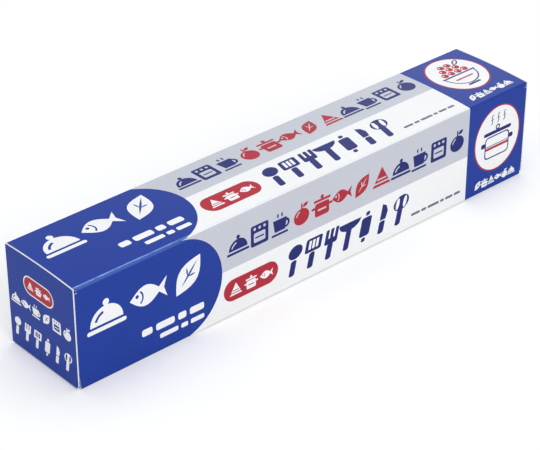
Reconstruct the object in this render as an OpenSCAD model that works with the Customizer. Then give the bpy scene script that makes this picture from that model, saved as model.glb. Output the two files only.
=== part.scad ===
// Aluminium foil roll in its dispenser carton.
// X runs along the carton, Y from its front (-) to its back (+), Z is up.
// The origin lies on the ground, under the middle of the carton.

/* [Roll] */
// Width of the foil
foil_w = 300; // [150:1:450]
// Thickness of all the foil's turns together, on one side of the core
wound_t = 8.125; // [2:0.125:20]
// Bore of the paper core
core_bore = 30; // [20:1:60]
// Wall of the paper core
core_wall = 1.5; // [1:0.1:2]
// How much longer the core is than the foil is wide
core_over = 5; // [2:0.5:8]
// Depth to which turns stand in or out on the roll's ends
turn_stagger = 0.35; // [0.1:0.05:0.6]
// Number of steps that show on each end of the roll
turn_steps = 12; // [4:1:16]
// Step at the foil's free edge
tail_step = 0.12; // [0.06:0.02:0.3]
// Place of the foil's free edge, in degrees up from the front of the roll
tail_angle = 75; // [10:1:120]

/* [Carton] */
// Thickness of the paperboard
board_t = 0.6; // [0.4:0.1:0.8]
// Outer radius of a crease in the board
crease_r = 1.3; // [1:0.1:2]
// Clear space before and behind the roll
roll_side_clear = 1.2; // [0.6:0.1:6]
// Clear space between the roll and the lid's creases
roll_top_clear = 7.55; // [5:0.05:12]
// Clear space between the core and the dust flaps, at each end
core_end_clear = 1.3; // [1:0.1:6]
// How far the lid's top bulges up between its two long edges
lid_crown = 0.7; // [0.2:0.1:2]
// Clear space beside the lid, at each end panel
lid_side_gap = 0.25; // [0.2:0.05:0.6]
// Height of the lid flap's lower edge above the ground
flap_lift = 0.5; // [0.4:0.1:2]
// How much lower than the lid the front wall's upper edge ends
front_wall_drop = 1; // [1:0.5:4]

/* [Cut corners of the board] */
// Height of the slanted cut at the lower corners of the lid's flap
taper_h = 8; // [4:1:20]
// How far that cut goes in
taper_in = 0.8; // [0.2:0.1:2]
// Width of the notch at each end of the lid's front crease
notch_w = 1.5; // [0.5:0.1:4]
// Height of that notch
notch_h = 2.8; // [1:0.1:6]
// Space between the free edges of the two dust flaps, at their foot
dust_split = 2; // [1:0.5:10]
// How much narrower than that each dust flap is at its top
dust_slant = 3; // [0:0.5:8]
// Space over and under the dust flaps
dust_relief = 1.4; // [1:0.1:4]

/* [Cutter] */
// Thickness of the toothed steel strip
blade_t = 0.25; // [0.15:0.05:0.4]
// Width of the strip, teeth included
blade_w = 9; // [6:0.5:14]
// How much longer the strip is than the foil is wide
blade_over = 2; // [0:0.5:4]
// Distance from one tooth to the next
tooth_pitch = 2.5; // [2:0.1:4]
// Height of a tooth
tooth_h = 1.8; // [1:0.1:3]
// Height of the tooth tips above the ground
blade_z = 0.8; // [0.5:0.1:4]
// Clear space between the strip and the lid's flap
blade_clear = 0.3; // [0.3:0.05:1]

/* [Hidden] */
$fn = 96;

core_od = core_bore + 2 * core_wall;
foil_od = core_od + 2 * wound_t;
// The carton is folded round the roll: one or two boards and a clear space on each side
carton_l = foil_w + core_over + 2 * core_end_clear + 4 * board_t;
carton_d = foil_od + 2 * roll_side_clear + 3 * board_t + blade_clear + blade_t;
carton_h = foil_od + roll_top_clear + 2 * board_t;
half_l = carton_l / 2;
half_d = carton_d / 2;
// The front wall stands behind the lid's flap, with the cutter between them
front_out = -half_d + board_t + blade_clear + blade_t;
front_in = front_out + board_t;
back_in = half_d - board_t;
wall_mid = (front_in + back_in) / 2;
// The lid's top runs as a shallow arc between two flat strips along its long edges,
// which the arc's ends lap by a little
crown_lap = 0.4;
crown_half = half_d - crease_r - crown_lap;
crown_r = (crown_half * crown_half + lid_crown * lid_crown) / (2 * lid_crown);
crown_z = carton_h + lid_crown - crown_r;
// The lid turns about a bead as thick as the board, along the back wall
hinge_y = half_d - board_t / 2;
hinge_z = carton_h - board_t / 2;
hinge_gap = 0.1;
back_wall_top = hinge_z - board_t / 2 - hinge_gap;
front_wall_top = carton_h - board_t - front_wall_drop;
lid_half_l = half_l - board_t - lid_side_gap;
// Ends of the flat part of the walls, where the dust flaps fold in
wall_half_l = half_l - board_t - crease_r;
// Over and under the dust flaps the walls run on, almost to the end panels
wall_slit = 0.2;
wall_end = half_l - board_t - wall_slit;
dust_z0 = board_t + dust_relief;
dust_z1 = front_wall_top - dust_relief;

// Height at which the end panels, which widen above the bottom's crease, have their width
flare_h = 2 * crease_r;

roll_z = board_t + foil_od / 2;
tooth_count = floor((foil_w + blade_over) / tooth_pitch);
blade_l = tooth_count * tooth_pitch;

board_blue = "#2c4295";
steel = "#b9bcc0";
foil_metal = "#d8dadd";
core_brown = "#a98a62";

// A plain rectangle between two corners
module box_2d(x0, y0, x1, y1) {
    translate([x0, y0]) square([x1 - x0, y1 - y0]);
}

// The same with all four corners rounded
module rounded_2d(x0, y0, x1, y1, r) {
    box_2d(x0 + r, y0, x1 - r, y1);
    box_2d(x0, y0 + r, x1, y1 - r);
    for (x = [x0 + r, x1 - r])
        for (y = [y0 + r, y1 - r])
            translate([x, y]) circle(r);
}

// A closed band of board around a rounded rectangle
module folded_band_2d(x0, y0, x1, y1) {
    difference() {
        rounded_2d(x0, y0, x1, y1, crease_r);
        rounded_2d(x0 + board_t, y0 + board_t, x1 - board_t, y1 - board_t, crease_r - board_t);
    }
}

// Extrudes a Y-Z outline along X, from x0 to x1
module along_x(x0, x1) {
    translate([x0, 0, 0]) rotate([90, 0, 90]) linear_extrude(x1 - x0) children();
}

// Extrudes an X-Z outline along Y, from y0 to y1
module along_y(y0, y1) {
    translate([0, y1, 0]) rotate([90, 0, 0]) linear_extrude(y1 - y0) children();
}

// Everything under one face of the lid's crowned top, in a Y-Z outline
module crown_2d(r) {
    intersection() {
        translate([0, crown_z]) circle(r, $fn = 720);
        box_2d(-half_d, 0, half_d, carton_h + 2 * lid_crown);
    }
}

// Section of the front wall, the bottom and the back wall, folded from one strip
module tray_section_2d() {
    intersection() {
        folded_band_2d(front_out, 0, half_d, 2 * carton_h);
        union() {
            box_2d(front_out, 0, wall_mid, front_wall_top);
            box_2d(wall_mid, 0, half_d, back_wall_top);
        }
    }
}

// Plan of the dust flaps, which fold in from the ends of both walls
module dust_flap_plan_2d() {
    difference() {
        folded_band_2d(-half_l + board_t, front_out, half_l - board_t, half_d);
        box_2d(-wall_half_l, front_out - 1, wall_half_l, half_d + 1);
    }
}

// The gap between the two dust flaps of an end, wider at its top
module dust_gap_2d() {
    foot = dust_split / 2;
    head = foot + dust_slant;
    polygon([[wall_mid - foot, -1], [wall_mid + foot, -1],
             [wall_mid + head, carton_h], [wall_mid - head, carton_h]]);
}

module dust_flaps() {
    difference() {
        translate([0, 0, dust_z0]) linear_extrude(dust_z1 - dust_z0) dust_flap_plan_2d();
        along_x(-half_l, half_l) dust_gap_2d();
    }
}

// Outline of an end panel: crowned like the lid, narrower at its foot
module end_panel_outline_2d() {
    rounded_2d(front_out, 0, half_d, carton_h / 2, crease_r);
    polygon([[front_out, crease_r], [half_d, crease_r], [half_d, flare_h], [-half_d, flare_h]]);
    intersection() {
        crown_2d(crown_r);
        box_2d(-half_d, flare_h, half_d, carton_h + 2 * lid_crown);
    }
}

// Both end panels, folded up from the bottom and glued to the dust flaps
module end_panels() {
    intersection() {
        along_y(-half_d, half_d) difference() {
            folded_band_2d(-half_l, 0, half_l, 2 * carton_h);
            box_2d(-half_l + crease_r, -1, half_l - crease_r, 2 * carton_h + 1);
        }
        along_x(-half_l, half_l) end_panel_outline_2d();
    }
}

// Bottom, walls, dust flaps and end panels are one folded and glued blank
module carton_tray() {
    color(board_blue) {
        along_x(-wall_half_l, wall_half_l) tray_section_2d();
        along_x(-wall_end, wall_end) difference() {
            tray_section_2d();
            box_2d(-half_d, dust_z0, half_d, dust_z1);
        }
        dust_flaps();
        end_panels();
    }
}

// Section of the lid: hinge bead, crowned top, front crease and front flap
module lid_section_2d() {
    under = carton_h - board_t;
    crease_y = -half_d + crease_r;
    translate([hinge_y, hinge_z]) circle(board_t / 2);
    box_2d(crown_half - crown_lap, under, hinge_y, carton_h);
    box_2d(crease_y, under, -crown_half + crown_lap, carton_h);
    intersection() {
        difference() {
            crown_2d(crown_r);
            crown_2d(crown_r - board_t);
        }
        box_2d(-crown_half - crown_lap / 2, under - board_t,
               crown_half + crown_lap / 2, carton_h + 2 * lid_crown);
    }
    intersection() {
        folded_band_2d(-half_d, flap_lift - 4 * crease_r, half_d, carton_h);
        box_2d(-half_d, flap_lift, crease_y, carton_h);
    }
}

// The waste cut from one lower corner of the flap
module flap_taper_2d() {
    polygon([[-lid_half_l - 1, flap_lift - 1], [-lid_half_l + taper_in, flap_lift - 1],
             [-lid_half_l + taper_in, flap_lift], [-lid_half_l, flap_lift + taper_h],
             [-lid_half_l - 1, flap_lift + taper_h]]);
}

// The notch at one end of the front crease, slanting inwards as it goes down
module crease_notch_2d() {
    top = carton_h - board_t / 2;
    foot = carton_h - notch_h;
    polygon([[-lid_half_l - 1, top], [-lid_half_l, top],
             [-lid_half_l + notch_w, foot], [-lid_half_l - 1, foot]]);
}

// Lid and front flap are one folded panel, which turns about its back edge
module carton_lid() {
    color(board_blue) difference() {
        along_x(-lid_half_l, lid_half_l) lid_section_2d();
        for (side = [0, 1])
            mirror([side, 0, 0]) along_y(-half_d - 1, -half_d + crease_r - board_t / 2) {
                flap_taper_2d();
                crease_notch_2d();
            }
    }
}

// Outline of the toothed strip in X-Z, with its tooth tips down
module blade_2d() {
    tips = [for (i = [0:tooth_count - 1]) each [
        [-blade_l / 2 + i * tooth_pitch, blade_z + tooth_h],
        [-blade_l / 2 + (i + 0.5) * tooth_pitch, blade_z]]];
    polygon(concat(tips, [[blade_l / 2, blade_z + tooth_h],
                          [blade_l / 2, blade_z + blade_w],
                          [-blade_l / 2, blade_z + blade_w]]));
}

module cutter_blade() {
    color(steel) along_y(front_out - blade_t, front_out) blade_2d();
}

// Places a part that was made about the Z axis on the roll's own axis
module on_roll_axis() {
    translate([0, wall_mid, roll_z]) rotate([0, 90, 0]) children();
}

module paper_core() {
    length = foil_w + core_over;
    color(core_brown) on_roll_axis() difference() {
        cylinder(d = core_od, h = length, center = true);
        cylinder(d = core_bore, h = length + 2, center = true);
    }
}

// How far step i of the turns stands out from the end of the roll
function turn_offset(i) = turn_stagger * (sin(137.5 * i) - 1) / 2;

// Profile of the wound turns: radius against height, stepped at both ends
module turns_profile_2d() {
    step = wound_t / turn_steps;
    upper = [for (i = [0:turn_steps - 1]) each [
        [core_od / 2 + i * step, foil_w / 2 + turn_offset(i)],
        [core_od / 2 + (i + 1) * step, foil_w / 2 + turn_offset(i)]]];
    lower = [for (i = [turn_steps - 1:-1:0]) each [
        [core_od / 2 + (i + 1) * step, -foil_w / 2 - turn_offset(i + 5)],
        [core_od / 2 + i * step, -foil_w / 2 - turn_offset(i + 5)]]];
    polygon(concat(upper, lower));
}

// One half of a long cylinder: side is 1 for its +Y half and -1 for its -Y half
module half_round(r, reach, side) {
    intersection() {
        cylinder(r = r, h = reach, center = true);
        translate([-2 * r, side > 0 ? 0 : -2 * r, -reach]) cube([4 * r, 2 * r, 2 * reach]);
    }
}

// The outer turn as two half rounds. The one before the free edge is smaller and set
// off, so that it meets the other flush on one side and a step lower at the edge
module outer_turn() {
    r = foil_od / 2;
    reach = foil_w + 2;
    rotate([0, 0, 270 - tail_angle]) {
        half_round(r, reach, -1);
        translate([-tail_step / 2, 0, 0]) half_round(r - tail_step / 2, reach, 1);
    }
}

// The foil's turns are one solid, with the foil's free edge as a step
module foil_roll() {
    color(foil_metal) on_roll_axis() intersection() {
        rotate_extrude($fn = 128) turns_profile_2d();
        outer_turn();
    }
}

carton_tray();
carton_lid();
cutter_blade();
paper_core();
foil_roll();
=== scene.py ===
import math
from functools import partial

import bmesh
import bpy
import numpy as np
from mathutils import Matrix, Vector, geometry


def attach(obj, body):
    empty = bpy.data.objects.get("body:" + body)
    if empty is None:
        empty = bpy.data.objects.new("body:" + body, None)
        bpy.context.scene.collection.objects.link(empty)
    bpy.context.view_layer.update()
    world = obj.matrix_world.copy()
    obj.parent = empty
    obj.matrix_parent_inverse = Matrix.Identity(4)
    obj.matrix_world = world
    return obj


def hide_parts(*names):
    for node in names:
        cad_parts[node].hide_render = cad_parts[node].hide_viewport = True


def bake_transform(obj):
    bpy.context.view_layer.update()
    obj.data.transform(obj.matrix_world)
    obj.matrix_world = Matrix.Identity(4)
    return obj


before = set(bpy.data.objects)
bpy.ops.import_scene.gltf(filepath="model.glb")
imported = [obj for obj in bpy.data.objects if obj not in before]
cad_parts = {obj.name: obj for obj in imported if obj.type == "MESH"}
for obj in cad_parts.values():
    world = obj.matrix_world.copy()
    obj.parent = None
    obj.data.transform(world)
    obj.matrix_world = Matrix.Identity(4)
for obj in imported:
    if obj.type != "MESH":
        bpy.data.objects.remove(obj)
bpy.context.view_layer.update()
mm = 0.001
print("stage: frame loaded")


def colourOf(text):
    parts = [int(text[i:i + 2], 16) / 255 for i in (1, 3, 5)]
    return [c / 12.92 if c <= 0.04045 else ((c + 0.055) / 1.055) ** 2.4 for c in parts] + [1.0]


# small helpers for node trees; an input is a value, a colour's code or another node's socket
def fillInputs(tree, node, inputs):
    for key, value in inputs.items():
        if isinstance(value, bpy.types.NodeSocket):
            tree.links.new(value, node.inputs[key])
        else:
            node.inputs[key].default_value = colourOf(value) if isinstance(value, str) else value


# adds a node and returns its outputs
def addNode(tree, kind, inputs=None, **settings):
    node = tree.nodes.new(kind)
    for key, value in settings.items():
        setattr(node, key, value)
    fillInputs(tree, node, inputs or {})
    return node.outputs


def calc(tree, operation, *values):
    return addNode(tree, "ShaderNodeMath", dict(enumerate(values)), operation=operation)[0]


def sumsFor(tree):
    return [partial(calc, tree, name) for name in ("ADD", "SUBTRACT", "MULTIPLY", "DIVIDE")]


def remap(tree, value, low, high, toLow=0.0, toHigh=1.0):
    values = dict(enumerate((value, low, high, toLow, toHigh)))
    return addNode(tree, "ShaderNodeMapRange", values, clamp=True)[0]


# noise keeps mostly to these middle values; the second pair gives more contrast
soft, crisp = (0.3, 0.7), (0.35, 0.65)


def spread(tree, value, toLow=0.0, toHigh=1.0):
    return remap(tree, value, *soft, toLow, toHigh)


def noise(tree, place, scale, detail=2.0, stretch=None):
    if stretch:
        place = addNode(tree, "ShaderNodeVectorMath", {0: place, 1: stretch},
                        operation="MULTIPLY")[0]
    return addNode(tree, "ShaderNodeTexNoise",
                   {"Vector": place, "Scale": scale, "Detail": detail})[0]


def vectorOf(tree, *parts):
    return addNode(tree, "ShaderNodeCombineXYZ", dict(enumerate(parts)))[0]


def partsOf(tree, vector):
    return addNode(tree, "ShaderNodeSeparateXYZ", {0: vector})


def mixColours(tree, factor, first, second):
    return addNode(tree, "ShaderNodeMix", {0: factor, 6: first, 7: second},
                   data_type="RGBA")[2]


def tinted(text, factor, lift=0.0):
    return [min(0.95, c * factor + lift) for c in colourOf(text)[:3]] + [1.0]


def startMaterial(name):
    material = bpy.data.materials.new(name)
    material.use_nodes = True
    tree = material.node_tree
    place = addNode(tree, "ShaderNodeTexCoord")["Object"]
    return material, tree, place, partial(noise, tree, place)


# sets the shader's inputs; each bump is a height, its strength and its depth in metres
def finishMaterial(material, inputs, *bumps):
    tree, normal = material.node_tree, {}
    for height, strength, distance in bumps:
        normal = {"Normal": addNode(tree, "ShaderNodeBump", {
            "Height": height, "Strength": strength, "Distance": distance, **normal})[0]}
    fillInputs(tree, tree.nodes["Principled BSDF"], inputs | normal)
    return material


# printed paperboard: coated outside, raw inside and on the cut edges
# a grain is its scale, detail and stretch, a bump its strength and depth in metres
boardFinish = {
    "inks": {"blue": "#193a98", "grey": "#c7cad4", "white": "#f3f4f5", "red": "#b2283a",
             "navy": "#1f2772", "slate": "#6d7086"},
    "roughness": (0.36, 0.45), "gloss": 0.12, "varnish": 0.03, "varnishRoughness": 0.3,
    "mottle": 0.03, "lift": 0.002, "pressGrain": (900, 3), "driftGrain": (22, 1),
    "driftShare": 0.4, "waveGrain": (30, 2, (0.35, 1, 1)), "waveBump": (0.35, 0.00035),
    "poreGrain": (2600, 3), "poreBump": (0.10, 0.00003),
    # painted light and shade on the folds: their colours, a crackle that breaks them up, and their
    # strength on dark inks and on pale ones
    "paintedFoldLight": "#93b4f4", "paintedFoldShade": "#30407c", "crackleGrain": (1300, 4, (0.2, 1, 1)),
    "foldLightShare": 0.85, "paleFoldLightShare": 0.15,
    "rawRoughness": (0.80, 0.94), "rawGloss": 0.25, "rawTones": (0.93, 1.03),
    "fibreGrain": (1900, 3, (0.35, 1, 1)), "fibreBump": (0.35, 0.00006),
    "feltGrain": (3200, 2), "feltBump": (0.4, 0.00002),
    # small grey specks of waste paper inside
    "inside": {"colour": "#d2cfc7", "marks": "#8f8b82", "grain": (1100, 2, (0.6, 1, 1)),
               "shows": (0.66, 0.74, 0.0, 0.35)},
    # a few darker plies where the board is cut
    "cutEdge": {"colour": "#f2f4fa", "marks": "#cdd0d6", "grain": (4200, 1, (0.02, 1, 1)),
                "shows": (0.58, 0.70, 0.0, 0.25)},
}

# where the folds get a painted highlight, partly for stretched coating, and a painted shade, in
# metres: a mark starts at the first value and is full at the second, or goes from one strength to
# another between them
foldLightMarks = {
    "lineUp": (0.05775, 0.05793), "lineOut": (0.0252, 0.0256), "lineEnd": (0.0261, 0.0265, 1, 0),
    "bandUp": (0.0561, 0.0572), "bandOut": (0.0257, 0.0262), "band": 0.2,
    "footUp": (0.0004, 0.0014, 1, 0), "footEnds": (0.1541, 0.1546), "footBack": (0.0261, 0.0266),
    "foot": 0.5, "crackle": (0.40, 0.62, 0.45, 1.0), "toShaded": (-0.13, 0.13),
    "fading": (-0.02, 0.13, 1.0, 0.45),
}


def inkMaterial(ink):
    material, tree, place, grain = startMaterial("ink" + ink.capitalize())
    add, _, mul, _ = sumsFor(tree)
    b, marks, most = boardFinish, foldLightMarks, partial(calc, tree, "MAXIMUM")
    x, y, z = partsOf(tree, place)
    # press mottle and a slow drift of the ink along the carton
    share, mottle, colour = b["driftShare"], b["mottle"], b["inks"][ink]
    cloud = add(mul(grain(*b["pressGrain"]), 1 - share), mul(grain(*b["driftGrain"]), share))
    inked = mixColours(tree, spread(tree, cloud), tinted(colour, 1 - mottle),
                       tinted(colour, 1 + mottle, b["lift"]))

    # painted highlight on the folds, partly for stretched coating: a bright line on the lid's edge,
    # a paler band below it, and fainter lines on the bottom folds
    def mark(value, name):
        return remap(tree, value, *marks[name])

    forward, sideways = mul(y, -1.0), calc(tree, "ABSOLUTE", x)
    line = mul(mark(z, "lineUp"), mul(mark(forward, "lineOut"), mark(forward, "lineEnd")))
    band = mul(mark(z, "bandUp"), mark(forward, "bandOut"))
    foot = mul(mark(z, "footUp"), most(mark(sideways, "footEnds"), mark(y, "footBack")))
    crackle = mark(grain(*b["crackleGrain"]), "crackle")
    foldLightMask = most(mul(most(line, mul(foot, marks["foot"])), crackle), mul(band, marks["band"]))
    # a painted highlight near the left end turns to a painted shade near the right end, and fades
    # towards the right
    paintedFoldLight = mixColours(tree, mark(x, "toShaded"), b["paintedFoldLight"], b["paintedFoldShade"])
    # the painted fold light shows less on the white and grey inks
    foldLightShare = b["paleFoldLightShare"] if ink in ("white", "grey") else b["foldLightShare"]
    inkWithFoldLight = mixColours(tree, mul(mul(foldLightMask, mark(x, "fading")), foldLightShare), inked, paintedFoldLight)
    return finishMaterial(material, {
        "Base Color": inkWithFoldLight, "Roughness": spread(tree, cloud, *b["roughness"]),
        "Coat Weight": b["varnish"], "Coat Roughness": b["varnishRoughness"],
        "Specular IOR Level": b["gloss"],
    }, (grain(*b["waveGrain"]), *b["waveBump"]), (grain(*b["poreGrain"]), *b["poreBump"]))


def rawBoardMaterial(name, face):
    material, tree, _, grain = startMaterial(name)
    b, raw = boardFinish, boardFinish[face]
    fibres = grain(*b["fibreGrain"])
    dark, light = (tinted(raw["colour"], tone) for tone in b["rawTones"])
    felt = mixColours(tree, remap(tree, fibres, *crisp), dark, light)
    marks = remap(tree, grain(*raw["grain"]), *raw["shows"])
    return finishMaterial(material, {
        "Base Color": mixColours(tree, marks, felt, raw["marks"]),
        "Roughness": spread(tree, fibres, *b["rawRoughness"]), "Specular IOR Level": b["rawGloss"],
    }, (fibres, *b["fibreBump"]), (grain(*b["feltGrain"]), *b["feltBump"]))


inks = list(boardFinish["inks"])
boardMaterials = [inkMaterial(ink) for ink in inks]
boardMaterials += [rawBoardMaterial("boardInside", "inside"),
                   rawBoardMaterial("boardCutEdge", "cutEdge")]
insideSlot, edgeSlot = len(inks), len(inks) + 1
print("stage: board materials ready")


# flat shapes of the print, as polygons in millimetres
def disc(cx, cy, rx, ry=None, count=28):
    turns = [2 * math.pi * i / count for i in range(count)]
    return [(cx + rx * math.cos(a), cy + (ry or rx) * math.sin(a)) for a in turns]


def rect(x0, y0, x1, y1):
    return [(x0, y0), (x1, y0), (x1, y1), (x0, y1)]


def roundRect(x0, y0, x1, y1, r, count=5):
    points = []
    for cx, cy, start in ((x1 - r, y1 - r, 0), (x0 + r, y1 - r, 90),
                          (x0 + r, y0 + r, 180), (x1 - r, y0 + r, 270)):
        for i in range(count + 1):
            a = math.radians(start + 90 * i / count)
            points.append((cx + r * math.cos(a), cy + r * math.sin(a)))
    return points


def bow(cx, cy, rIn, rOut, start, end, count=12):
    angles = [math.radians(start + (end - start) * i / count) for i in range(count + 1)]
    return ([(cx + rOut * math.cos(a), cy + rOut * math.sin(a)) for a in angles]
            + [(cx + rIn * math.cos(a), cy + rIn * math.sin(a)) for a in reversed(angles)])


def leafShape(cx, cy, length, width, turn, count=9):
    side = [(length * (i / count - 0.5), width / 2 * math.sin(math.pi * i / count))
            for i in range(count + 1)]
    outline = side + [(x, -y) for x, y in side[-2:0:-1]]
    c, s = math.cos(math.radians(turn)), math.sin(math.radians(turn))
    return [(cx + x * c - y * s, cy + x * s + y * c) for x, y in outline]


# kitchen signs and tools one unit high, y up; the layers of each are in turn ink and ground
handle = roundRect(-0.07, -0.5, 0.07, 0.02, 0.06)
signs = {
    "pot": [[roundRect(-0.34, -0.42, 0.34, 0.12, 0.09), roundRect(-0.4, 0.17, 0.4, 0.27, 0.04),
             disc(0, 0.34, 0.08), roundRect(-0.5, -0.1, -0.33, 0, 0.04),
             roundRect(0.33, -0.1, 0.5, 0, 0.04)], [rect(-0.2, -0.2, 0.2, -0.13)]],
    "fish": [[leafShape(-0.08, 0, 0.82, 0.5, 0),
              [(0.2, 0), (0.48, 0.25), (0.4, 0), (0.48, -0.25)]],
             [disc(-0.3, 0.05, 0.045, count=12), bow(-0.34, 0, 0.17, 0.21, -50, 50, 8)]],
    "leaf": [[leafShape(0, 0, 1.02, 0.56, 50)],
             [leafShape(0.03, 0.03, 0.7, 0.05, 50), leafShape(0.09, -0.02, 0.22, 0.04, 5),
              leafShape(-0.03, 0.09, 0.22, 0.04, 95)]],
    "cup": [[bow(0.22, -0.03, 0.1, 0.19, -90, 90),
             [(-0.36, 0.22), (0.28, 0.22), (0.2, -0.26), (-0.28, -0.26)],
             roundRect(-0.42, -0.42, 0.34, -0.33, 0.04), roundRect(-0.17, 0.29, -0.1, 0.45, 0.03),
             roundRect(0.02, 0.29, 0.09, 0.45, 0.03)]],
    "dome": [[bow(0, -0.2, 0, 0.42, 0, 180, 16), roundRect(-0.5, -0.36, 0.5, -0.26, 0.05),
              disc(0, 0.29, 0.08)], [bow(0, -0.2, 0.26, 0.32, 105, 160, 8)]],
    "oven": [[roundRect(-0.4, -0.42, 0.4, 0.42, 0.08)],
             [roundRect(-0.26, -0.28, 0.26, 0.1, 0.05),
              *(disc(x, 0.27, 0.06, count=12) for x in (-0.22, 0, 0.22))],
             [rect(-0.2, -0.12, 0.2, -0.06)]],
    "fruit": [[disc(0, -0.1, 0.36, 0.33)], [bow(0, -0.1, 0.21, 0.26, 110, 170, 6)],
              [roundRect(-0.03, 0.18, 0.04, 0.44, 0.03), leafShape(0.17, 0.34, 0.3, 0.15, 25)]],
    "slice": [[[(-0.44, -0.36), (0.44, -0.36), (0, 0.42)]],
              [[(-0.24, -0.1), (0.24, -0.1), (0.21, -0.04), (-0.21, -0.04)],
               [(-0.38, -0.25), (0.38, -0.25), (0.35, -0.19), (-0.35, -0.19)]]],
    "spoon": [[handle, disc(0, 0.28, 0.17, 0.23)]],
    "fork": [[handle, roundRect(-0.16, 0, 0.16, 0.2, 0.06),
              *(roundRect(x - 0.04, 0.08, x + 0.04, 0.5, 0.03) for x in (-0.12, 0, 0.12))]],
    "knife": [[roundRect(-0.075, -0.5, 0.075, -0.08, 0.06),
               [(-0.075, -0.05), (0.075, -0.05), (0.1, 0.2), (0.04, 0.4), (-0.075, 0.5)]]],
    "turner": [[handle, roundRect(-0.2, 0.04, 0.2, 0.5, 0.06)],
               [rect(x - 0.03, 0.14, x + 0.03, 0.42) for x in (-0.09, 0, 0.09)]],
    "whisk": [[handle, disc(0, 0.24, 0.2, 0.26)],
              [disc(x, 0.24, 0.045, 0.19) for x in (-0.095, 0.095)]],
    "ladle": [[handle, roundRect(-0.07, -0.5, 0.07, 0.3, 0.06),
               bow(0, 0.42, 0, 0.28, 180, 360, 10)]],
    "pin": [[roundRect(-0.13, -0.32, 0.13, 0.32, 0.07), roundRect(-0.05, -0.5, 0.05, -0.36, 0.04),
             roundRect(-0.05, 0.36, 0.05, 0.5, 0.04)]],
}


# shapes moved to a place, sized, widened and leaned over
def placed(shapes, cx, cy, size=1.0, wide=1.0, lean=0.0):
    return [(ink, [(cx + (x * wide + lean * y) * size, cy + y * size) for x, y in outline])
            for ink, outline in shapes]


def stamp(sign, ink, ground, *place):
    return placed([((ink, ground)[i % 2], outline) for i, layer in enumerate(signs[sign])
                   for outline in layer], *place)


def stampRow(names, ink, ground, first, pitch, *place):
    return [shape for i, name in enumerate(names.split())
            for shape in stamp(name, ink, ground, first + i * pitch, *place)]


# the greatest size that fits shares of a height and a width
def within(name, high, wide):
    shareHigh, shareWide = panelPrint[name]
    return min(shareHigh * high, shareWide * wide)


def barRow(ink, x0, x1, y0, y1, lengths, gap):
    scale = (x1 - x0 - gap * (len(lengths) - 1)) / sum(lengths)
    shapes, x = [], x0
    for length in lengths:
        wide = length * scale
        r = within("barRound", y1 - y0, wide)
        shapes.append((ink, roundRect(x, y0, x + wide, y1, r, 3)))
        x += wide + gap
    return shapes


def badge(x0, x1, y0, y1, rim=0.0):
    wide, r = x1 - x0, (y1 - y0) / 2
    shapes = [("red", roundRect(x0, y0, x1, y1, r, 8))]
    if rim:
        edge = roundRect(x0 - rim, y0 - rim, x1 + rim, y1 + rim, r + rim, 8)
        shapes.insert(0, ("white", edge))
    size = within("badgeSize", 2 * r, wide)
    for sign, share in panelPrint["badgeSigns"].items():
        shapes += stamp(sign, "white", "red", x0 + wide * share, (y0 + y1) / 2, size)
    return shapes


# one drawing for the front, the lid and the back, in millimetres: x from the left end, y up
# from the lower edge, with fields that run far past the board
panelPrint = {
    "far": 400.0, "blueEnd": 90.0, "blueArc": 29.3, "arcMiddle": 28.7, "bandFoot": 28.2,
    "rightBlock": 264.5, "badge": (90.8, 127.0, 8.7, 21.6),
    # shares of a badge's or a bar's height and width
    "badgeSigns": {"slice": 0.22, "pot": 0.5, "fish": 0.785}, "badgeSize": (0.74, 0.25),
    "barRound": (0.3, 0.45),
    # signs, ink, ground, the first one's place, pitch, middle, size, widening and lean
    "rows": [("dome fish", "white", "blue", 18.5, 25.5, 36.5, 23.5),
             ("leaf", "white", "blue", 68.5, 0.0, 36.5, 23.5),
             ("dome oven cup", "navy", "grey", 100.5, 14.1, 41.0, 14.6),
             ("fruit pot fish leaf slice", "red", "grey", 142.8, 14.1, 41.0, 14.6),
             ("dome cup oven fruit", "navy", "grey", 213.3, 14.1, 41.0, 14.6),
             ("spoon turner fork ladle pin knife whisk", "navy", "white",
              137.8214, 12.64286, 14.8, 17.6, 1.6, 0.22)],
    # ink, limits in x and in y, lengths and gap
    "bars": [("white", 39, 78, 13.0, 17.0, (5, 9, 4, 7), 2.2),
             ("white", 50, 78, 7.5, 10.2, (8, 3, 6), 1.8),
             ("slate", 222.5, 260.0, 7.1, 8.7, (7, 4, 9, 3, 6, 5), 1.1)],
    # middle, width and height of the disc, its rim, and the small row from the disc's foot
    "frontDisc": (287.7, 31.5, 36.0, 40.4), "topDisc": (287.2, 31.8, 35.0, 38.4), "discRim": 0.8,
    "smallRow": ("leaf pot slice fish fruit dome", "white", "blue", -13.5, 5.4, -5.5, 6.4),
}


def drawPanel(discX, discY, discWide, discHigh, motif):
    p = panelPrint
    far, arc = p["far"], p["blueArc"]
    arcX = p["blueEnd"] - arc
    turns = [math.radians(a) for a in range(-90, 91, 3)]
    blueEnd = [(arcX + arc * math.cos(a), p["arcMiddle"] + arc * math.sin(a)) for a in turns]
    shapes = [("white", rect(-far, -far, far, far)), ("grey", rect(-far, p["bandFoot"], far, far)),
              ("blue", [(-far, -far), (arcX, -far)] + blueEnd + [(arcX, far), (-far, far)]),
              ("blue", rect(p["rightBlock"], -far, far, far))]
    for row in p["rows"]:
        shapes += stampRow(*row)
    for bar in p["bars"]:
        shapes += barRow(*bar)
    shapes += badge(*p["badge"])
    wide, tall, rim = discWide / 2, discHigh / 2, p["discRim"]
    shapes.append(("red", disc(discX, discY, wide, tall, 64)))
    shapes.append(("white", disc(discX, discY, wide - rim, tall - rim, 64)))
    return (shapes + placed(motif, discX, discY)
            + placed(stampRow(*p["smallRow"]), discX, discY - tall))


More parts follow.
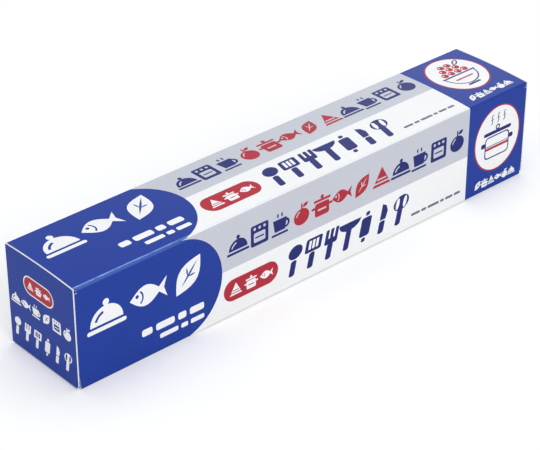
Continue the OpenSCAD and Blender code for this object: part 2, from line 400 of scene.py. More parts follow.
# the pictures in the discs, in millimetres from the disc's middle
potMotif = [(ink, roundRect(*sizes)) for ink, *sizes in (
    ("navy", -9.6, -11.5, 9.6, 2.4, 2.6), ("white", -8.8, -10.7, 8.8, 1.6, 2.0),
    ("navy", -12.6, -3.4, -9.0, -0.6, 0.9), ("navy", 9.0, -3.4, 12.6, -0.6, 0.9),
    ("navy", -10.8, 3.2, 10.8, 5.4, 1.0), ("red", -8.8, -6.0, 8.8, -4.4, 0.2),
    ("navy", -8.8, -3.9, 8.8, -3.4, 0.1))]
potMotif += [("navy", disc(0, 6.9, 1.7)), ("white", disc(0, 6.9, 0.9))]
for x in (-4.6, 0.2, 5.0):  # steam
    potMotif += [("navy", bow(x - 1.2, 11.2, 1.1, 1.7, -80, 80, 8)),
                 ("navy", bow(x + 1.0, 14.0, 1.1, 1.7, 100, 260, 8))]

bowlMotif = [("navy", bow(0, -1.0, 0.0, 11.4, 180, 360, 24)),
             ("white", bow(0, -1.0, 0.0, 10.6, 180, 360, 24)),
             ("navy", roundRect(-12.2, -1.8, 12.2, -0.6, 0.5)),
             ("navy", roundRect(-4.6, -14.2, 4.6, -12.6, 0.7)),
             ("navy", leafShape(8.6, 10.6, 8.0, 3.4, 40)),
             ("white", leafShape(8.6, 10.6, 5.6, 1.6, 40)),
             ("red", roundRect(-6.5, -6.4, 6.5, -5.2, 0.5))]
for y, places in (2.0, (-7.4, -2.5, 2.5, 7.4)), (6.2, (-5.0, 0.0, 5.0)), (10.4, (-2.4, 2.4)):
    for x in places:  # round fruit, each with a small light spot
        bowlMotif += [("red", disc(x, y, 2.2, count=18)),
                      ("white", disc(x - 0.7, y + 0.7, 0.6, count=10))]


# the end panels, in millimetres from the lower front corner
endPrint = {
    "badge": (14.0, 37.0, 38.0, 47.3, 0.7),
    "rows": [("dome fish cup leaf oven fruit", "white", "blue", 5.8, 8.3, 29.6, 8.4),
             ("spoon fork turner pin knife whisk", "white", "blue",
              5.5, 8.2, 13.0, 10.8, 1.4, 0.18)],
}


def drawEnd():
    far = panelPrint["far"]
    shapes = [("blue", rect(-far, -far, far, far))] + badge(*endPrint["badge"])
    for row in endPrint["rows"]:
        shapes += stampRow(*row)
    return shapes


# keeps the part of each shape between two heights
def clipShapes(shapes, low=-math.inf, high=math.inf):
    kept = []
    for ink, outline in shapes:
        for limit, side in ((low, 1), (high, -1)):
            result = []
            for (ax, ay), (bx, by) in zip(outline, outline[1:] + outline[:1]):
                aIn, bIn = side * (ay - limit) >= 0, side * (by - limit) >= 0
                if aIn:
                    result.append((ax, ay))
                if aIn != bIn:
                    result.append((ax + (bx - ax) * (limit - ay) / (by - ay), limit))
            outline = result
        if len(outline) > 2:
            kept.append((ink, outline))
    return kept


# how far a run of board has come, and its heading, at each length s along it
def walk(s, length, angle, turn):
    heading = angle + turn * s / length
    if turn:
        across, up = np.sin(heading) - math.sin(angle), math.cos(angle) - np.cos(heading)
        return length / turn * np.stack([across, up], 1), heading
    return s[:, None] * np.array([math.cos(angle), math.sin(angle)]), heading


# a line of board seen on its cut edge: straight runs and folds, walked from one end; a step is
# its length, its turn in degrees and the number of its facets
def boardLine(start, heading, steps, outerSide):
    runs, v = [], 0.0
    point, angle = np.array(start, float), math.radians(heading)
    for length, turn, count in steps:
        turn = math.radians(turn)
        if length:
            runs.append((v, length, point, angle, turn, count))
            point = point + walk(np.array([length]), length, angle, turn)[0][0]
        angle += turn
        v += length

    def at(values):
        points, normals = np.zeros((len(values), 2)), np.zeros((len(values), 2))
        for first, length, corner, angle, turn, _ in runs:
            here = values >= first - 1e-9
            offset, heading = walk(values[here] - first, length, angle, turn)
            points[here] = corner + offset
            normals[here] = outerSide * np.stack([-np.sin(heading), np.cos(heading)], 1)
        return points, normals

    folds = [first + length * i / count for first, length, *_, count in runs for i in range(count)]
    return at, sorted(set(round(fold, 6) for fold in folds[1:])), v


def insideOf(outline, points):
    inside = np.zeros(len(points), bool)
    x, y = points[:, 0], points[:, 1]
    for (ax, ay), (bx, by) in zip(outline, outline[1:] + outline[:1]):
        if ay != by:
            inside ^= ((ay > y) != (by > y)) & (x < (bx - ax) * (y - ay) / (by - ay) + ax)
    return inside


# triangles inside a loop that runs anticlockwise, and where each given point ended up
def triangulate(points, edges, loop):
    made = geometry.delaunay_2d_cdt([tuple(p) for p in points], edges, [loop], 0, 1e-5, True)
    corners = np.array([tuple(p) for p in made[0]])
    faces = np.array([face for face, owners in zip(made[2], made[5]) if owners])
    return corners, faces, {given: i for i, givens in enumerate(made[3]) for given in givens}


# cuts a flat sheet along its folds and its print, and gives each triangle its ink
def cutSheet(outline, shapes, folds):
    low, high = np.min(outline, 0), np.max(outline, 0)
    points, edges = [], []

    def addLine(line, closed=True):
        first = len(points)
        points.extend(line)
        edges.extend((first + i, first + i + 1) for i in range(len(line) - 1))
        if closed:
            edges.append((len(points) - 1, first))

    addLine(outline)
    for v in folds:
        addLine([(low[0] - 1, v), (high[0] + 1, v)], False)
    for _, shape in shapes:
        if (np.max(shape, 0) > low).all() and (np.min(shape, 0) < high).all():
            addLine(shape)
    flat, faces, _ = triangulate(points, edges, list(range(len(outline))))
    used, faces = np.unique(faces, return_inverse=True)
    flat, faces = flat[used], faces.reshape(-1, 3)
    slots, centres = np.full(len(faces), inks.index("white")), flat[faces].mean(1)
    for ink, shape in shapes:
        slots[insideOf(shape, centres)] = inks.index(ink)
    return flat, faces, list(slots)


# the corners round a sheet, in order: an edge of its rim has a triangle on one side only
def rimOf(faces):
    edges = {(a, b) for face in faces for a, b in zip(face, np.roll(face, -1))}
    follows = {a: b for a, b in edges if (b, a) not in edges}
    rim = [min(follows)]
    while len(rim) < len(follows):
        rim.append(follows[rim[-1]])
    return rim


# folds a flat sheet and gives it the board's thickness
def foldSheet(outline, shapes, place, folds, toSpace):
    if sum(a[0] * b[1] - a[1] * b[0] for a, b in zip(outline, outline[1:] + outline[:1])) < 0:
        outline = outline[::-1]
    heights = [v for _, v in outline]
    folds = [v for v in folds if min(heights) < v < max(heights)]
    flat, faces, slots = cutSheet(outline, shapes, folds)
    # the inner face has only the folds and the same rim
    rim, innerEdges = rimOf(faces), []
    for v in folds:
        onFold = sorted((flat[i][0], k) for k, i in enumerate(rim) if abs(flat[i][1] - v) < 1e-4)
        innerEdges += [(a[1], b[1]) for a, b in zip(onFold, onFold[1:])]
    innerFlat, innerFaces, innerOf = triangulate(flat[rim], innerEdges, list(range(len(rim))))
    outerPoint, outerNormal, _, _ = place(flat[:, 1])
    _, _, innerPoint, innerNormal = place(innerFlat[:, 1])
    points = np.vstack([toSpace(flat[:, 0], outerPoint), toSpace(innerFlat[:, 0], innerPoint)])
    facing = toSpace(np.zeros(len(points)), np.vstack([outerNormal, -innerNormal]))
    count = len(flat)
    loops = [list(f) for f in faces] + [[count + i for i in reversed(f)] for f in innerFaces]
    normals = [facing[f] for f in loops]
    slots += [insideSlot] * len(innerFaces)
    a, b, c = (points[faces[:, k]] for k in range(3))
    turned = (np.cross(b - a, c - a) * facing[faces[:, 0]]).sum() < 0
    for k, corner in enumerate(rim):  # cut edges
        after = (k + 1) % len(rim)
        quad = [rim[after], corner, count + innerOf[k], count + innerOf[after]]
        out = np.cross(points[quad[1]] - points[quad[0]], points[quad[3]] - points[quad[0]])
        out /= max(np.linalg.norm(out), 1e-12)
        loops.append(quad)
        normals.append(np.array([-out if turned else out] * 4))
        slots.append(edgeSlot)
    if turned:
        loops, normals = [f[::-1] for f in loops], [n[::-1] for n in normals]
    return points, loops, normals, slots


def addObject(name, data):
    made = bpy.data.objects.new(name, data)
    bpy.context.scene.collection.objects.link(made)
    return made


def meshObject(name, points, faces):
    mesh = bpy.data.meshes.new(name)
    mesh.from_pydata([tuple(c * mm for c in p) for p in points], [], faces)
    mesh.update()
    return addObject(name, mesh)


def paintBoard(piece, slots):
    for material in boardMaterials:
        piece.data.materials.append(material)
    piece.data.polygons.foreach_set("material_index", [int(s) for s in slots])


def makeBoardPiece(name, sheets):
    points, faces, normals, slots = [], [], [], []
    for sheetPoints, sheetFaces, sheetNormals, sheetSlots in sheets:
        faces += [[int(i) + len(points) for i in f] for f in sheetFaces]
        points += list(sheetPoints)
        normals += sheetNormals
        slots += sheetSlots
    piece = meshObject(name, points, faces)
    paintBoard(piece, slots)
    piece.data.polygons.foreach_set("use_smooth", [True] * len(faces))
    piece.data.normals_split_custom_set([tuple(n) for face in normals for n in face])
    print(f"stage: {name} has {len(faces)} faces")
    return piece


# sizes of the folded carton, in millimetres
carton = {
    "length": 310.0, "depth": 54.0, "height": 58.0, "board": 0.6, "crease": 1.3,
    "crown": 0.67, "crownLap": 0.4, "lidGap": 0.25, "flapLift": 0.5, "frontIn": 1.15,
    "frontWallTop": 56.4, "backWallTop": 57.3, "taperHigh": 8.0, "taperIn": 0.8,
    "flareHigh": 2.6, "notchWide": 1.5, "notchHigh": 2.8, "beadTurn": 80.0, "wallGap": 0.2,
    "footGap": 0.5, "dustFoot": 2.0, "dustTop": 55.0, "dustGap": 1.0, "dustSlant": 3.0,
    "dustBleed": 5.0, "backInkFrom": 0.4, "endInkFrom": 0.3,
    # facets
    "foldSteps": 8, "lidFoldSteps": 10, "crownSteps": 28, "beadSteps": 6, "endTopSteps": 24,
}
halfL, halfD, high = carton["length"] / 2, carton["depth"] / 2, carton["height"]
board, crease = carton["board"], carton["crease"]
foldLength = crease * math.pi / 2
crownHalf = halfD - crease - carton["crownLap"]
crownRadius = (crownHalf ** 2 + carton["crown"] ** 2) / (2 * carton["crown"])
frontOut = -halfD + carton["frontIn"]
bottomHalf, wallHalf = halfL - crease, halfL - board - crease


def plainBoard(at):
    def place(v):
        point, normal = at(v)
        return point, normal, point - normal * board, normal
    return place


# a sheet whose flat width runs along the carton
def alongCarton(u, p):
    return np.stack([u, p[:, 0], p[:, 1]], 1)


# lid: flap, front fold, crowned top and the bead at the hinge
def makeLid():
    c, halfX = carton, halfL - board - carton["lidGap"]
    lift = c["flapLift"]
    flap = high - crease - lift
    lean = math.degrees(math.asin(crownHalf / crownRadius))
    beadLength = board / 2 * math.radians(c["beadTurn"])
    steps = [(flap, 0, 1), (foldLength, -90, c["lidFoldSteps"]), (c["crownLap"], 0, 1),
             (0, lean, 1), (crownRadius * math.radians(2 * lean), -2 * lean, c["crownSteps"]),
             (0, lean, 1), (halfD - board / 2 - crownHalf, 0, 1),
             (beadLength, -c["beadTurn"], c["beadSteps"])]
    at, folds, length = boardLine((-halfD, lift), 90, steps, 1)

    def place(v):
        point, normal = at(v)
        inner, innerNormal = point - normal * board, normal.copy()
        bead = v > length - beadLength - 1e-6
        inner[bead] = point[bead]
        inner[bead, 1] = 2 * (high - board / 2) - point[bead, 1]
        innerNormal[bead, 0] *= -1
        return point, normal, inner, innerNormal

    # the notch ends on the fold, at half the board's depth
    notchTop = flap + crease * math.asin((crease - board / 2) / crease)
    notchFoot = high - c["notchHigh"] - lift
    right = [(halfX - c["taperIn"], 0), (halfX, c["taperHigh"]), (halfX, notchFoot),
             (halfX - c["notchWide"], notchFoot), (halfX, notchTop), (halfX, length)]
    outline = right + [(-x, v) for x, v in reversed(right)]
    # the front's drawing meets the top's in the middle of the fold
    middle = flap + foldLength / 2
    front = placed(drawPanel(*panelPrint["frontDisc"], potMotif), -halfL, -lift)
    top = placed(drawPanel(*panelPrint["topDisc"], bowlMotif), -halfL, flap + foldLength - crease)
    art = clipShapes(front, high=middle) + clipShapes(top, low=middle)
    return makeBoardPiece("printedLid", [foldSheet(outline, art, place, folds, alongCarton)])


# the front wall, the bottom and the back wall, in one strip
def wallStrip():
    c, far = carton, panelPrint["far"]
    top, wallEnd = c["frontWallTop"], halfL - board - c["wallGap"]
    frontRun, backRun = top - crease, c["backWallTop"] - crease
    bottomRun = halfD - crease - (frontOut + crease)
    fold = (foldLength, 90, c["foldSteps"])
    steps = [(frontRun, 0, 1), fold, (bottomRun, 0, 1), fold, (backRun, 0, 1)]
    at, folds, length = boardLine((frontOut, top), -90, steps, -1)
    bottomFrom, backFoot = frontRun + foldLength, length - backRun - crease
    # how far the strip reaches sideways, from the front wall's top to the back wall's
    frontLow, frontHigh = top - c["dustFoot"], top - c["dustTop"]
    backLow, backHigh = backFoot + c["dustFoot"], backFoot + c["dustTop"]
    footEnd = wallEnd - c["footGap"]
    reach = [(0, wallEnd), (frontHigh, wallEnd), (frontHigh, wallHalf), (frontLow, wallHalf),
             (frontLow, footEnd), (bottomFrom, bottomHalf), (bottomFrom + bottomRun, bottomHalf),
             (backLow, footEnd), (backLow, wallHalf), (backHigh, wallHalf), (backHigh, wallEnd),
             (length, wallEnd)]
    outline = [(x, v) for v, x in reach] + [(-x, v) for v, x in reversed(reach)]
    frontArt = [("blue", rect(-far, -1, far, frontRun + foldLength / 2))]
    backArt = placed(drawPanel(*panelPrint["frontDisc"], bowlMotif), halfL, backFoot, wide=-1.0)
    backArt = clipShapes(backArt, low=backFoot + c["backInkFrom"])
    return foldSheet(outline, frontArt + backArt, plainBoard(at), folds, alongCarton)


# an end panel, folded up from the bottom; its top follows the crown
def endPanel(side):
    crownZ, rise = high + carton["crown"] - crownRadius, foldLength - crease
    bends = [math.radians(a) for a in range(0, 91, 15)]
    lower = [(frontOut + crease - crease * math.sin(a), crease * a) for a in bends]
    upper = [(halfD - crease + crease * math.sin(a), crease * a) for a in bends]
    count = carton["endTopSteps"]
    crown = [halfD - carton["depth"] * i / count for i in range(count + 1)]
    outline = (lower[::-1] + upper
               + [(y, crownZ + math.sqrt(crownRadius ** 2 - y * y) + rise) for y in crown]
               + [(-halfD, carton["flareHigh"] + rise)])
    steps = [(foldLength, -90, carton["foldSteps"]), (high, 0, 1)]
    at, folds, _ = boardLine((-bottomHalf, 0), 180, steps, 1)
    art = clipShapes(placed(drawEnd(), -side * halfD, rise, wide=side), low=carton["endInkFrom"])
    return foldSheet(outline, art, plainBoard(at), folds,
                     lambda u, p: np.stack([-side * p[:, 0], u, p[:, 1]], 1))


# a dust flap, folded in from the end of a wall; its free edge slants
def dustFlap(side, wall, edge):
    c, far = carton, panelPrint["far"]
    run = abs(edge - (frontOut + halfD) / 2) - crease
    steps = [(foldLength, wall * 90, c["foldSteps"]), (run, 0, 1)]
    at, folds, length = boardLine((-wallHalf, edge), 180, steps, -wall)
    low, top = ((z, length - c["dustGap"] - c["dustSlant"] * (z + 1) / (high + 1))
                for z in (c["dustFoot"], c["dustTop"]))
    bleed = [("blue", rect(-far, -1, far, foldLength + c["dustBleed"]))]
    return foldSheet([(low[0], 0), (top[0], 0), top, low], bleed, plainBoard(at), folds,
                     lambda u, p: np.stack([-side * p[:, 0], p[:, 1], u], 1))


def makeTray():
    sheets = [wallStrip()]
    for side in (-1, 1):
        sheets += [endPanel(side), dustFlap(side, -1, frontOut), dustFlap(side, 1, halfD)]
    return makeBoardPiece("printedTray", sheets)


lid = makeLid()
tray = makeTray()
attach(lid, "lid")
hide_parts("carton_lid")
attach(tray, "tray")
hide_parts("carton_tray")


def pointOutwards(piece):
    shape = bmesh.new()
    shape.from_mesh(piece.data)
    bmesh.ops.recalc_face_normals(shape, faces=shape.faces)
    openEdges = sum(1 for edge in shape.edges if len(edge.link_faces) != 2)
    if shape.calc_volume(signed=True) < 0:
        bmesh.ops.reverse_faces(shape, faces=shape.faces)
    shape.to_mesh(piece.data)
    print(f"stage: {piece.name} has {len(shape.faces)} faces, open edges {openEdges}")
    shape.free()


weldDistance = 2e-6  # metres


# grows a closed plain mesh from a Geometry Nodes tree: the values are its named inputs, and
# build adds the nodes that make the shape
def growPiece(name, values, build):
    tree, keys = bpy.data.node_groups.new(name, "GeometryNodeTree"), {}
    for label, value in values.items():
        kind = "NodeSocket" + type(value).__name__.capitalize()
        socket = tree.interface.new_socket(label, in_out="INPUT", socket_type=kind)
        keys[label] = socket.identifier
    tree.interface.new_socket("Geometry", in_out="OUTPUT", socket_type="NodeSocketGeometry")
    ask = addNode(tree, "NodeGroupInput")
    welded = addNode(tree, "GeometryNodeMergeByDistance",
                     {"Geometry": build(tree, ask), "Distance": weldDistance})[0]
    real = addNode(tree, "GeometryNodeRealizeInstances", {0: welded})[0]
    painted = addNode(tree, "GeometryNodeSetMaterial",
                      {"Geometry": real, "Material": ask["Material"]})[0]
    addNode(tree, "NodeGroupOutput", {"Geometry": painted})
    seedling = addObject(name + "Grower", bpy.data.meshes.new(name + "Grower"))
    modifier = seedling.modifiers.new("grow", "NODES")
    modifier.node_group = tree
    for label, value in values.items():
        modifier[keys[label]] = value
    bpy.context.view_layer.update()
    grown = seedling.evaluated_get(bpy.context.evaluated_depsgraph_get())
    piece = addObject(name, bpy.data.meshes.new_from_object(grown))
    piece.data.name = name
    if piece.data.materials[0] is None:  # the tree leaves its first slot empty
        piece.data.materials.pop(index=0)
    seedling.modifiers.clear()
    bpy.data.objects.remove(seedling)
    pointOutwards(piece)
    return piece


# foil: bright rolled metal with fine lines round the roll, and its turns on both ends
foilRoll = {
    "width": 300.0, "coreRadius": 16.5, "foilRadius": 24.625, "axisY": 0.575, "axisZ": 25.225,
    "turns": 54, "around": 120, "rowsAlong": 24.0, "stagger": 0.34, "oddShare": 0.25,
    "edgeStep": 0.12, "edgeAngle": 75.0, "wrinkle": 0.05, "seed": 4, "sharpAngle": 32.0,
    "bodyTones": ("#b0b3b8", "#c9ccd0"), "endTones": ("#8f949c", "#e2e4e8"),
    "roughness": (0.16, 0.30), "endFrom": (0.1492, 0.1494),
    "lineGrain": (2200, 3, (1, 0.03, 0.03)), "lineBump": (0.25, 0.00002),
    "streakGrain": (260, 2, (1, 0.05, 0.05)), "turnGrain": (5200, 2), "turnBump": (0.5, 0.00008),
    "dentGrain": (60, 3, (1, 0.5, 0.5)), "dentBump": (0.2, 0.0003),
    # noise that moves the turns and dents the foil: its scale, detail, gain and drop, and its
    # steps by turn, round the roll and along it
    "turnCloud": (1.0, 1.0, 2.4, -0.7), "turnSteps": (0.71, 0.35, 9.0),
    "dentCloud": (1.6, 2.0, 2.0, -0.6), "dentStep": 6.0, "undented": 0.02,
}


# distance from the roll's axis, and angle round it
def aroundAxis(tree, y, z):
    add, sub, mul, _ = sumsFor(tree)
    y, z = sub(y, foilRoll["axisY"] * mm), sub(z, foilRoll["axisZ"] * mm)
    return calc(tree, "SQRT", add(mul(y, y), mul(z, z))), calc(tree, "ARCTAN2", z, y)


def foilMaterial():
    material, tree, place, grain = startMaterial("rolledFoil")
    f, (x, y, z) = foilRoll, partsOf(tree, place)
    radius, _ = aroundAxis(tree, y, z)
    lines, layers = grain(*f["lineGrain"]), noise(tree, vectorOf(tree, radius), *f["turnGrain"])
    onEnd = remap(tree, calc(tree, "ABSOLUTE", x), *f["endFrom"])
    body = mixColours(tree, spread(tree, grain(*f["streakGrain"])), *f["bodyTones"])
    turns = mixColours(tree, remap(tree, layers, *crisp), *f["endTones"])
    return finishMaterial(material, {
        "Base Color": mixColours(tree, onEnd, body, turns), "Metallic": 1.0,
        "Roughness": spread(tree, lines, *f["roughness"]),
    }, (lines, *f["lineBump"]), (grain(*f["dentGrain"]), *f["dentBump"]),
        (calc(tree, "MULTIPLY", layers, onEnd), *f["turnBump"]))


# a grid bent round the axis: its columns go round the roll, its rows follow a profile that runs
# out over one end, along the roll, in over the other end and back through the bore
def foilShape(tree, ask):
    add, sub, mul, div = sumsFor(tree)
    more, less = partial(calc, tree, "GREATER_THAN"), partial(calc, tree, "LESS_THAN")
    f, rowsAlong = foilRoll, foilRoll["rowsAlong"]

    def clamp(value):
        return addNode(tree, "ShaderNodeClamp", {0: value})[0]

    def cloud(spot, scale, detail, gain, drop):
        rough = addNode(tree, "ShaderNodeTexNoise", {"Vector": spot, "W": ask["Seed"],
                        "Scale": scale, "Detail": detail}, noise_dimensions="4D")[0]
        return clamp(calc(tree, "MULTIPLY_ADD", rough, gain, drop))

    faceRows = mul(ask["Turns"], 2.0)
    allRows = add(mul(faceRows, 2.0), rowsAlong + 2.0)
    grid = addNode(tree, "GeometryNodeMeshGrid", {
        "Size X": 1.0, "Size Y": 1.0, "Vertices X": add(ask["Around"], 1.0),
        "Vertices Y": allRows})[0]
    across, up, _ = partsOf(tree, addNode(tree, "GeometryNodeInputPosition")[0])
    angle = mul(add(across, 0.5), 2 * math.pi)
    row = calc(tree, "ROUND", mul(add(up, 0.5), sub(allRows, 1.0)))
    outward = clamp(div(row, faceRows))
    along = clamp(div(sub(row, faceRows), rowsAlong))
    inward = clamp(div(sub(sub(row, faceRows), rowsAlong), faceRows))
    back = clamp(sub(row, sub(allRows, 2.0)))
    share = sub(outward, inward)
    # the free edge is a step in the outer turn
    start = div(sub(angle, calc(tree, "RADIANS", ask["Edge Angle"])), 2 * math.pi)
    turnShare = calc(tree, "FRACT", add(start, 1.0))
    outer = sub(ask["Foil Radius"], mul(ask["Edge Step"], sub(1.0, turnShare)))
    rise = mul(sub(outer, ask["Core Radius"]), share)
    cosine, sine = calc(tree, "COSINE", angle), calc(tree, "SINE", angle)
    # turns stand in and out on the ends, a little differently round each turn
    ring = calc(tree, "FLOOR", mul(mul(share, faceRows), 0.5))
    odd = calc(tree, "MODULO", row, 2.0)
    byTurn, byAngle, byLength = f["turnSteps"]
    spot = vectorOf(tree, mul(ring, byTurn), mul(cosine, byAngle),
                    add(mul(sine, byAngle), mul(along, byLength)))
    oddShare = f["oddShare"]
    uneven = add(mul(cloud(spot, *f["turnCloud"]), 1 - oddShare), mul(odd, oddShare))
    onLeft = mul(less(row, sub(faceRows, 0.5)), more(row, 0.5))
    onRight = mul(mul(more(row, add(faceRows, rowsAlong + 0.5)), sub(1.0, back)),
                  more(share, 0.004))  # the bore stays smooth
    sink = mul(mul(ask["Stagger"], uneven), sub(onLeft, onRight))
    # soft dents along the roll
    dents = cloud(vectorOf(tree, mul(along, f["dentStep"]), cosine, sine), *f["dentCloud"])
    middle = mul(more(along, f["undented"]), less(along, 1 - f["undented"]))
    radius = sub(add(ask["Core Radius"], rise), mul(mul(dents, ask["Wrinkle"]), middle))
    x = add(mul(sub(sub(along, 0.5), back), ask["Width"]), sink)
    bent = vectorOf(tree, x, mul(mul(radius, cosine), -1.0), mul(radius, sine))
    onAxis = addNode(tree, "ShaderNodeVectorMath", {0: bent, 1: ask["Axis"]}, operation="ADD")[0]
    return addNode(tree, "GeometryNodeSetPosition",
                   {"Geometry": grid, "Position": onAxis})[0]


def makeFoilRoll():
    f = foilRoll
    piece = growPiece("woundFoil", {
        "Width": f["width"] * mm, "Axis": Vector((0.0, f["axisY"] * mm, f["axisZ"] * mm)),
        "Core Radius": f["coreRadius"] * mm, "Foil Radius": f["foilRadius"] * mm,
        "Turns": f["turns"], "Around": f["around"], "Stagger": f["stagger"] * mm,
        "Edge Step": f["edgeStep"] * mm, "Edge Angle": f["edgeAngle"],
        "Wrinkle": f["wrinkle"] * mm, "Seed": f["seed"], "Material": foilMaterial()}, foilShape)
    piece.data.polygons.foreach_set("use_smooth", [True] * len(piece.data.polygons))
    piece.data.set_sharp_from_angle(angle=math.radians(f["sharpAngle"]))
    return piece


# cutter: ground teeth along a steel strip
cutter = {
    "teeth": 120, "pitch": 2.5, "tip": 0.8, "toothHigh": 1.8, "wide": 9.0, "back": -25.85,
    "thick": 0.25, "grindTip": 0.85, "grindRoot": 0.5,
    "tones": ("#a9adb3", "#c9ccd1"), "stain": "#8d9197", "stainShows": (0.55, 0.75, 0.0, 0.3),
    "stainGrain": (180, 3), "brushGrain": (1800, 3, (0.02, 1, 1)), "brushBump": (0.2, 0.00001),
    "roughness": (0.28, 0.42), "anisotropy": 0.4,
}


def steelMaterial():
    material, tree, _, grain = startMaterial("bladeSteel")
    c, brush = cutter, grain(*cutter["brushGrain"])
    stains = remap(tree, grain(*c["stainGrain"]), *c["stainShows"])
    tone = mixColours(tree, spread(tree, brush), *c["tones"])
    return finishMaterial(material, {
        "Base Color": mixColours(tree, stains, tone, c["stain"]), "Metallic": 1.0,
        "Roughness": spread(tree, brush, *c["roughness"]), "Anisotropic": c["anisotropy"],
    }, (brush, *c["brushBump"]))


# one tooth repeated on a line, and the strip's two cut ends
def toothRow(tree, ask):
    _, sub, mul, _ = sumsFor(tree)
    tooth, ends = (addNode(tree, "GeometryNodeObjectInfo", {"Object": ask[label]})["Geometry"]
                   for label in ("Tooth", "Ends"))
    first = mul(mul(sub(ask["Teeth"], 1.0), ask["Pitch"]), -0.5)
    line = addNode(tree, "GeometryNodeMeshLine", {
        "Count": ask["Teeth"], "Start Location": vectorOf(tree, first),
        "Offset": vectorOf(tree, ask["Pitch"])})[0]
    row = addNode(tree, "GeometryNodeInstanceOnPoints", {"Points": line, "Instance": tooth})[0]
    real = addNode(tree, "GeometryNodeRealizeInstances", {0: row})[0]
    joined = addNode(tree, "GeometryNodeJoinGeometry", {0: ends})[0]
    tree.links.new(real, joined.node.inputs[0])
    return joined


def makeCutter():
    c = cutter
    half, tip, root, top = c["pitch"] / 2, c["tip"], c["tip"] + c["toothHigh"], c["tip"] + c["wide"]
    points = [(x, y, z) for y, rootZ, tipZ in (
                  (c["back"], root, tip),
                  (c["back"] - c["thick"], root + c["grindRoot"], tip + c["grindTip"]))
              for x, z in ((-half, rootZ), (0, tipZ), (half, rootZ), (half, top), (-half, top))]
    faces = [(0, 1, 2, 3, 4), (9, 8, 7, 6, 5), (4, 3, 8, 9), (1, 0, 5, 6), (2, 1, 6, 7)]
    tooth = meshObject("oneTooth", points, faces)
    end = c["teeth"] * half
    caps = [(x, *points[i][1:]) for x in (-end, end) for i in (0, 5, 9, 4)]
    ends = meshObject("stripEnds", caps, [(0, 1, 2, 3), (7, 6, 5, 4)])
    piece = growPiece("toothedStrip", {
        "Teeth": c["teeth"], "Pitch": c["pitch"] * mm, "Tooth": tooth, "Ends": ends,
        "Material": steelMaterial()}, toothRow)
    for used in (tooth, ends):
        bpy.data.objects.remove(used)
    return piece


# core: brown paper wound in a spiral, with its plies on the cut ends
coreFinish = {
    "tones": ("#94714a", "#b8946a"), "plyTones": ("#8a6a45", "#c9aa80"), "seam": "#6f5232",
    "seamPitch": 0.055, "seamEdge": (0.004, 0.012, 1.0, 0.0), "seamShade": 0.7,
    "seamBump": (-0.6, 0.00015), "cutFrom": (0.1523, 0.15245), "plyGrain": (3600, 1),
    "plyShows": (0.4, 0.6),
    "fibreGrain": (500, 4, (0.4, 1, 1)), "fibreBump": (0.3, 0.00006),
    "roughness": (0.78, 0.92), "gloss": 0.25,
}


def coreMaterial():
    material, tree, place, grain = startMaterial("corePaper")
    add, sub, mul, div = sumsFor(tree)
    c, (x, y, z) = coreFinish, partsOf(tree, place)
    radius, angle = aroundAxis(tree, y, z)
    fibre = grain(*c["fibreGrain"])
    kraft = mixColours(tree, remap(tree, fibre, *crisp), *c["tones"])
    helix = add(div(x, c["seamPitch"]), div(angle, 2 * math.pi))
    gap = calc(tree, "ABSOLUTE", sub(calc(tree, "FRACT", helix), 0.5))
    seam = remap(tree, gap, *c["seamEdge"])
    seamed = mixColours(tree, mul(seam, c["seamShade"]), kraft, c["seam"])
    plies = noise(tree, vectorOf(tree, radius), *c["plyGrain"])
    cut = mixColours(tree, remap(tree, plies, *c["plyShows"]), *c["plyTones"])
    onCut = remap(tree, calc(tree, "ABSOLUTE", x), *c["cutFrom"])
    return finishMaterial(material, {
        "Base Color": mixColours(tree, onCut, seamed, cut), "Specular IOR Level": c["gloss"],
        "Roughness": spread(tree, fibre, *c["roughness"]),
    }, (fibre, *c["fibreBump"]), (seam, *c["seamBump"]))


# hinge: the scored board that bends between the back wall and the lid
hingeFold = {
    "thick": 0.3, "halfLength": 153.0, "y": 26.7, "rows": (56.7, 57.15, 57.25, 57.35),
    "bend": 0.25, "bendSteps": 6, "z": 57.7, "reach": 25.9, "blueLeft": -80.0, "blueRight": 109.5,
}


def makeHinge():
    h = hingeFold
    r, t = h["bend"], h["thick"] / 2
    spine = [(h["y"], z, 1, 0) for z in h["rows"]]
    for i in range(h["bendSteps"] + 1):
        a = math.radians(90 * i / h["bendSteps"])
        c, s = math.cos(a), math.sin(a)
        spine.append((h["y"] - r + r * c, h["z"] - r + r * s, c, s))
    spine.append((h["reach"], h["z"], 0, 1))
    outer, inner = ([(y + ny * out, z + nz * out) for y, z, ny, nz in spine] for out in (t, -t))
    loop, n = outer + inner[::-1], len(spine)
    count = 2 * n
    places = [-h["halfLength"], h["blueLeft"], h["blueRight"], h["halfLength"]]
    points = [(x, y, z) for x in places for y, z in loop]
    faces, slots = [], []
    for k, ink in enumerate(("blue", "grey", "blue")):  # printed outside, raw inside
        a, b = k * count, (k + 1) * count
        faces += [(a + i, a + (i + 1) % count, b + (i + 1) % count, b + i) for i in range(count)]
        slots += [inks.index(ink) if i < n - 1 else insideSlot for i in range(count)]
    last = 3 * count
    for i in range(n - 1):  # both ends in quads, from the outer to the inner side
        quad = (i, i + 1, count - 2 - i, count - 1 - i)
        faces += [quad, tuple(last + j for j in reversed(quad))]
        slots += [insideSlot] * 2
    piece = meshObject("hingeFold", points, faces)
    paintBoard(piece, slots)
    pointOutwards(piece)
    return piece


woundFoil = makeFoilRoll()
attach(woundFoil, "tray")
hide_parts("foil_roll")
strip = makeCutter()
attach(strip, "tray")
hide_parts("cutter_blade")
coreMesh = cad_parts["paper_core"].data
coreSurface = coreMaterial()
if not coreMesh.materials:
    coreMesh.materials.append(coreSurface)
for i in range(len(coreMesh.materials)):
    coreMesh.materials[i] = coreSurface
hinge = makeHinge()
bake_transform(hinge)
print("stage: roll, cutter, core and hinge ready")


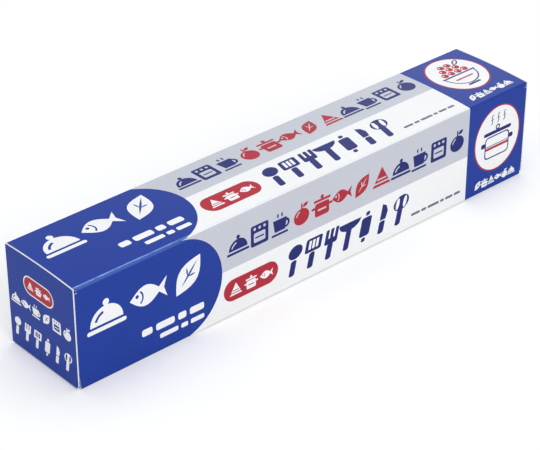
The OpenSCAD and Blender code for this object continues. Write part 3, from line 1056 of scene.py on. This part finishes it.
# floor, soft studio light and the camera; a lamp is its place and size in metres, its power and
# its colour if it isn't white, and the floor's sizes are in millimetres
studio = {
    "world": 0.62, "floorColour": (0.93, 0.93, 0.93, 1.0), "floorRoughness": 0.9,
    "floorLift": 0.12, "floorWide": 6000.0, "floorGap": 0.1,
    "cameraPlace": (-0.5952, -0.66327, 0.57261),
    "cameraTurn": (58.053, -0.015, -41.427), "lens": 133.615,
    "lamps": {"keyLamp": ((-0.35, -1.35, 1.15), 1.2, 10.5),
              "fillLamp": ((-1.5, -0.1, 0.8), 1.2, 1.2),
              "topLamp": ((0.3, 0.3, 1.9), 1.6, 7.0, (0.94, 1, 1.06)),
              "sheenLamp": ((1.0, 0.75, 0.62), 0.5, 1.0)},
}


# the background is white to the camera, and in metal; the studio light stays at its own level
def makeWorld():
    world = bpy.data.worlds.new("studioWorld")
    world.use_nodes = True
    tree = world.node_tree
    rays = addNode(tree, "ShaderNodeLightPath")
    seen = calc(tree, "MAXIMUM", rays["Is Camera Ray"],
                calc(tree, "MAXIMUM", rays["Is Glossy Ray"], rays["Is Transmission Ray"]))
    fillInputs(tree, tree.nodes["Background"], {
        "Color": (1, 1, 1, 1), "Strength": remap(tree, seen, 0.0, 1.0, studio["world"], 1.0)})
    return world


# the floor is white to the camera and still takes the carton's shadow
def makeFloor():
    wide, low = studio["floorWide"], -studio["floorGap"]
    floor = meshObject("studioFloor", [(x, y, low) for x, y in rect(-wide, -wide, wide, wide)],
                       [(0, 1, 2, 3)])
    material, tree, _, _ = startMaterial("floorPaper")
    rays = addNode(tree, "ShaderNodeLightPath")
    floor.data.materials.append(finishMaterial(material, {
        "Base Color": studio["floorColour"], "Roughness": studio["floorRoughness"],
        "Specular IOR Level": 0.0, "Emission Color": (1, 1, 1, 1),
        "Emission Strength": calc(tree, "MULTIPLY", rays["Is Camera Ray"], studio["floorLift"])}))
    return floor


def makeLamp(name, place, size, power, colour=(1, 1, 1)):
    light = bpy.data.lights.new(name, "AREA")
    light.shape, light.size, light.energy, light.color = "DISK", size, power, colour
    lamp = addObject(name, light)
    lamp.location = place
    lamp.rotation_euler = (-lamp.location).to_track_quat("-Z", "Y").to_euler()


def makeCamera():
    data = bpy.data.cameras.new("photoCamera")
    data.lens = studio["lens"]
    camera = addObject("photoCamera", data)
    camera.location = studio["cameraPlace"]
    camera.rotation_euler = [math.radians(a) for a in studio["cameraTurn"]]
    return camera


scene = bpy.context.scene
scene.view_settings.view_transform = "Standard"
scene.world = makeWorld()
floor = makeFloor()
for name, settings in studio["lamps"].items():
    makeLamp(name, *settings)
scene.camera = makeCamera()
print("stage: studio ready")
